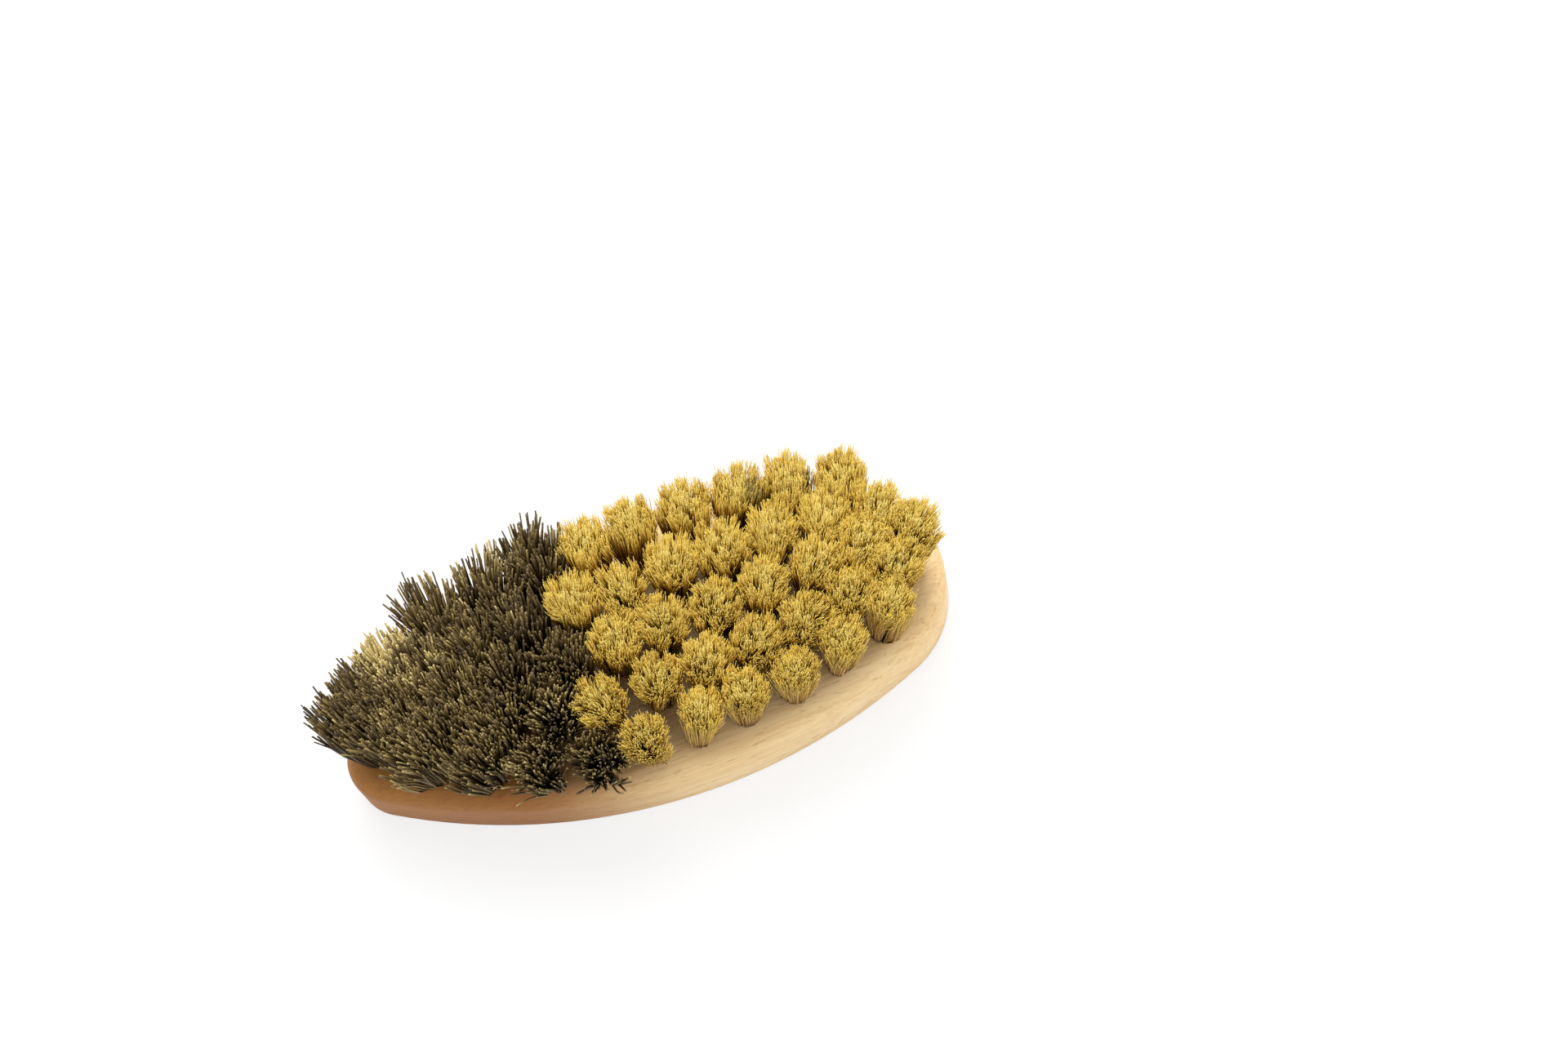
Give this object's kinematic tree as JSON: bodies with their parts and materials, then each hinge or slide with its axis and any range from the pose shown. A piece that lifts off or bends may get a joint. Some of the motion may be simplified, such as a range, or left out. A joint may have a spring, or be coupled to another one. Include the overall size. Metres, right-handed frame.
{
  "type": "vegetable brush",
  "caption": "Hand-held vegetable brush: flat-backed egg-shaped wooden block, dense dark hard tufts at the narrow end and pale softer tufts over the rest.",
  "frame": {"origin": "middle of the block's flat back, on the back's plane", "axes": "+X from the narrow nose to the broad end, +Y to the left of that, +Z from the flat back to the fibre tips"},
  "size_m": [0.1395, 0.057, 0.043],
  "materials": {
    "beech": "sanded, unvarnished beech",
    "anchor_wire": "drawn flat wire",
    "hard_fibre": "coarse mixed brown and black plant fibre",
    "soft_fibre": "pale golden plant fibre"
  },
  "bodies": {
    "root": {"block": "beech", "anchors": "anchor_wire", "hard_tuft_01_mid": "hard_fibre", "hard_tuft_02_right": "hard_fibre", "hard_tuft_02_left": "hard_fibre", "hard_tuft_03_right": "hard_fibre", "hard_tuft_03_mid": "hard_fibre", "hard_tuft_03_left": "hard_fibre", "hard_tuft_04_right": "hard_fibre", "hard_tuft_04_left": "hard_fibre", "hard_tuft_05_right": "hard_fibre", "hard_tuft_05_mid": "hard_fibre", "hard_tuft_05_left": "hard_fibre", "hard_tuft_06_right": "hard_fibre", "hard_tuft_06_left": "hard_fibre", "hard_tuft_07_right": "hard_fibre", "hard_tuft_07_mid": "hard_fibre", "hard_tuft_07_left": "hard_fibre", "hard_tuft_08_right": "hard_fibre", "hard_tuft_08_left": "hard_fibre", "hard_tuft_09_right": "hard_fibre", "hard_tuft_09_mid": "hard_fibre", "hard_tuft_09_left": "hard_fibre", "soft_tuft_10_right": "soft_fibre", "soft_tuft_10_left": "soft_fibre", "soft_tuft_11_right": "soft_fibre", "soft_tuft_11_mid": "soft_fibre", "soft_tuft_11_left": "soft_fibre", "soft_tuft_12_right": "soft_fibre", "soft_tuft_12_left": "soft_fibre", "soft_tuft_13_right": "soft_fibre", "soft_tuft_13_mid": "soft_fibre", "soft_tuft_13_left": "soft_fibre", "soft_tuft_14_right": "soft_fibre", "soft_tuft_14_left": "soft_fibre", "soft_tuft_15_right": "soft_fibre", "soft_tuft_15_mid": "soft_fibre", "soft_tuft_15_left": "soft_fibre", "soft_tuft_16_right": "soft_fibre", "soft_tuft_16_left": "soft_fibre", "soft_tuft_17_right": "soft_fibre", "soft_tuft_17_mid": "soft_fibre", "soft_tuft_17_left": "soft_fibre", "soft_tuft_18_right": "soft_fibre", "soft_tuft_18_left": "soft_fibre", "soft_tuft_19_right": "soft_fibre", "soft_tuft_19_mid": "soft_fibre", "soft_tuft_19_left": "soft_fibre", "soft_tuft_20_right": "soft_fibre", "soft_tuft_20_left": "soft_fibre", "soft_tuft_21_right": "soft_fibre", "soft_tuft_21_mid": "soft_fibre", "soft_tuft_21_left": "soft_fibre", "soft_tuft_22_right": "soft_fibre", "soft_tuft_22_left": "soft_fibre", "soft_tuft_23_mid": "soft_fibre"}
  },
  "joints": []
}
